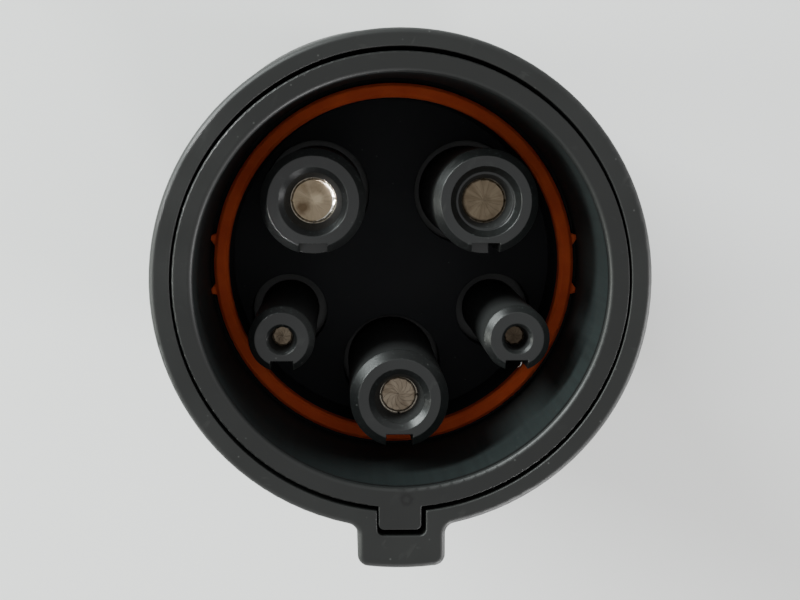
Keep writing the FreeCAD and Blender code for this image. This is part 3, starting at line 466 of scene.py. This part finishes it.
# one blade is drawn from the mouth inwards, swirled a little, and repeated round the axis
def petals(tag, mouth, shift, count, swirl_degrees):
    x, y, bore = contacts[tag]
    outer_end = ((x + mouth) * MM, y * MM, PETAL_TOP * MM)
    start_piece()
    bpy.ops.mesh.primitive_plane_add(size=1.0, location=outer_end, rotation=(0.0, math.radians(90), 0.0))
    piece = bpy.context.active_object
    bpy.ops.object.transform_apply(location=True, rotation=True, scale=True)
    edit_all()
    width = 2 * math.pi * mouth / count * OVERLAP
    bpy.ops.transform.resize(value=(1.0, width * MM, SHEET * MM), center_override=outer_end)
    bpy.ops.transform.rotate(value=math.radians(1.0), orient_axis="X", center_override=outer_end)
    size_was = 1.0
    fallen = 0.0
    for size, drop in petal_profile:
        fall = drop * bore - fallen
        fallen = drop * bore
        axis = (x * MM, y * MM, (PETAL_TOP - fallen) * MM)
        bpy.ops.mesh.extrude_region_move(TRANSFORM_OT_translate={"value": (0.0, 0.0, -fall * MM)})
        bpy.ops.transform.resize(value=(size / size_was, size / size_was, 1.0), center_override=axis)
        bpy.ops.transform.rotate(value=math.radians(swirl_degrees * (size_was - size)), orient_axis="Z",
                                 center_override=axis)
        size_was = size
    bpy.ops.mesh.select_all(action="SELECT")
    bpy.ops.mesh.normals_make_consistent(inside=False)
    for _ in range(count - 1):
        bpy.ops.mesh.duplicate()
        bpy.ops.transform.rotate(value=2 * math.pi / count, orient_axis="Z",
                                 center_override=(x * MM, y * MM, PETAL_TOP * MM))
    bpy.ops.mesh.select_all(action="DESELECT")
    bpy.ops.object.mode_set(mode="OBJECT")
    # the flat middle of the petals has been pushed aside a little by the pins
    for vertex in piece.data.vertices:
        vertex.select = math.hypot(vertex.co.x - x * MM, vertex.co.y - y * MM) < LOOSE * mouth * MM
    bpy.ops.object.mode_set(mode="EDIT")
    bpy.ops.transform.translate(value=(shift * MM, 0.0, 0.0))
    end_edit(40)
    settle(piece, "contact_petals_" + tag, blades[tag])


# radius of the mouth and shift to the right in millimetres, number of blades, and swirl in degrees
petals("line_1", 2.06, -0.14, 16, 14.0)
petals("line_2", 2.02, 0.09, 16, 14.0)
petals("earth", 1.64, -0.04, 13, 70.0)
petals("pilot", 0.9, 0.0, 9, 60.0)
petals("proximity", 0.9, 0.0, 9, 60.0)


# the curled sliver of flash that is left in the notch of the proximity tube: it starts as a flat face, grows
# in short steps that turn and taper, and is then laid into the notch
def curled_sliver(root_mm, half_width_mm, steps, step_mm, turn_degrees, taper):
    middle = (0.0, 0.0, 0.0)
    start_piece()
    bpy.ops.mesh.primitive_circle_add(vertices=6, radius=half_width_mm * MM, fill_type="NGON",
                                      location=middle)
    piece = bpy.context.active_object
    edit_all()
    bpy.ops.transform.resize(value=(1.0, 0.5, 1.0), center_override=middle)
    end = Vector(middle)
    for i in range(steps):
        curl = math.radians(turn_degrees * i)
        step = Vector((-math.sin(curl), 0.0, math.cos(curl))) * step_mm * MM
        end = end + step
        bpy.ops.mesh.extrude_region_move(TRANSFORM_OT_translate={"value": tuple(step)})
        bpy.ops.transform.resize(value=(taper, taper, taper), center_override=tuple(end))
    bpy.ops.mesh.select_all(action="SELECT")
    bpy.ops.transform.rotate(value=math.radians(-90), orient_axis="X", center_override=middle)
    bpy.ops.transform.translate(value=tuple(v * MM for v in root_mm))
    bpy.ops.mesh.normals_make_consistent(inside=False)
    end_edit(50)
    settle(piece, "flash_sliver", pale_flash)


curled_sliver((11.05, -7.72, 117.02), 0.07, 7, 0.1, 13.0, 0.84)


def place_in_scene(name, data):
    thing = bpy.data.objects.new(name, data)
    bpy.context.scene.collection.objects.link(thing)
    return thing


# camera over the plug mouth, as near as the photo was taken, and turned so that the mouth sits in the frame
# as it does there: the turns about Z, Y and X are in radians
camera_spot_mm = (-5.179, 12.787, 254.0)
roll, yaw, pitch = 0.00306, 0.03775, 0.1078
camera_data = bpy.data.cameras.new("camera")
camera_data.lens = 68.95
camera_data.sensor_width = 36.0
camera_data.clip_start = 0.005
camera = place_in_scene("camera", camera_data)
facing = (Matrix.Rotation(roll, 3, "Z") @ Matrix.Rotation(yaw, 3, "Y")
          @ Matrix.Rotation(pitch, 3, "X")).transposed()
camera.matrix_world = Matrix.Translation(Vector(camera_spot_mm) * MM) @ facing.to_4x4()
bpy.context.scene.camera = camera

# pale paper floor, six metres wide
start_piece()
bpy.ops.mesh.primitive_plane_add(size=6.0, location=(0, 0, 0))
floor = bpy.context.active_object
floor.name = "floor"
paper, tree, place = new_material("white_paper_floor")
fibre = ramp(tree, noise_at(tree, place, 300.0), [(0.35, "f1f1f0"), (0.65, "f5f5f4")])
shade_with(tree, add(tree, "ShaderNodeBsdfPrincipled", values={"Roughness": 0.85},
                     links={"Base Color": fibre}))
floor.data.materials.append(paper)


def point_lamp(name, data, spot, aim):
    lamp = place_in_scene(name, data)
    lamp.location = spot
    lamp.rotation_euler = (aim - spot).to_track_quat("-Z", "Y").to_euler()


# soft studio light: places, aims and sizes in millimetres
def soft_box(name, spot_mm, aim_mm, width_mm, height_mm, power, tint="ffffff"):
    data = bpy.data.lights.new(name, "AREA")
    data.shape = "RECTANGLE"
    data.size = width_mm * MM
    data.size_y = height_mm * MM
    data.energy = power
    data.color = linear(tint)[:3]
    point_lamp(name, data, Vector(spot_mm) * MM, Vector(aim_mm) * MM)


soft_box("key_light", (-650, 545, 480), (0, 0, 115), 560, 220, 16.0, "f3fcfa")
soft_box("left_light", (-760, -60, 350), (0, 0, 115), 260, 260, 3.6, "f6fbf2")
soft_box("right_light", (860, -230, 190), (0, 0, 60), 240, 240, 6.0)
soft_box("low_light", (420, -820, 190), (0, 0, 60), 240, 240, 6.5)

# small lamps with snoots that stand round the left of the first contact and catch its far edge
snoot_aim = Vector((-6.3, 6.8, 113.9)) * MM
snoot_away, snoot_rise = 245.0, 178.0
for degrees in (150.0, 178.0, 206.0, 232.0):
    turn = math.radians(degrees)
    snoot = bpy.data.lights.new("snoot_light", "SPOT")
    snoot.shadow_soft_size = 1.5 * MM
    snoot.spot_size = math.radians(1.0)
    snoot.spot_blend = 0.3
    snoot.energy = 3.2
    offset = Vector((snoot_away * math.cos(turn), snoot_away * math.sin(turn), snoot_rise)) * MM
    point_lamp("snoot_light", snoot, snoot_aim + offset, snoot_aim)

world = bpy.data.worlds.new("studio")
world.use_nodes = True
sky = world.node_tree.nodes["Background"]
sky.inputs["Color"].default_value = linear("f6f7f7")
sky.inputs["Strength"].default_value = 0.84
bpy.context.scene.world = world
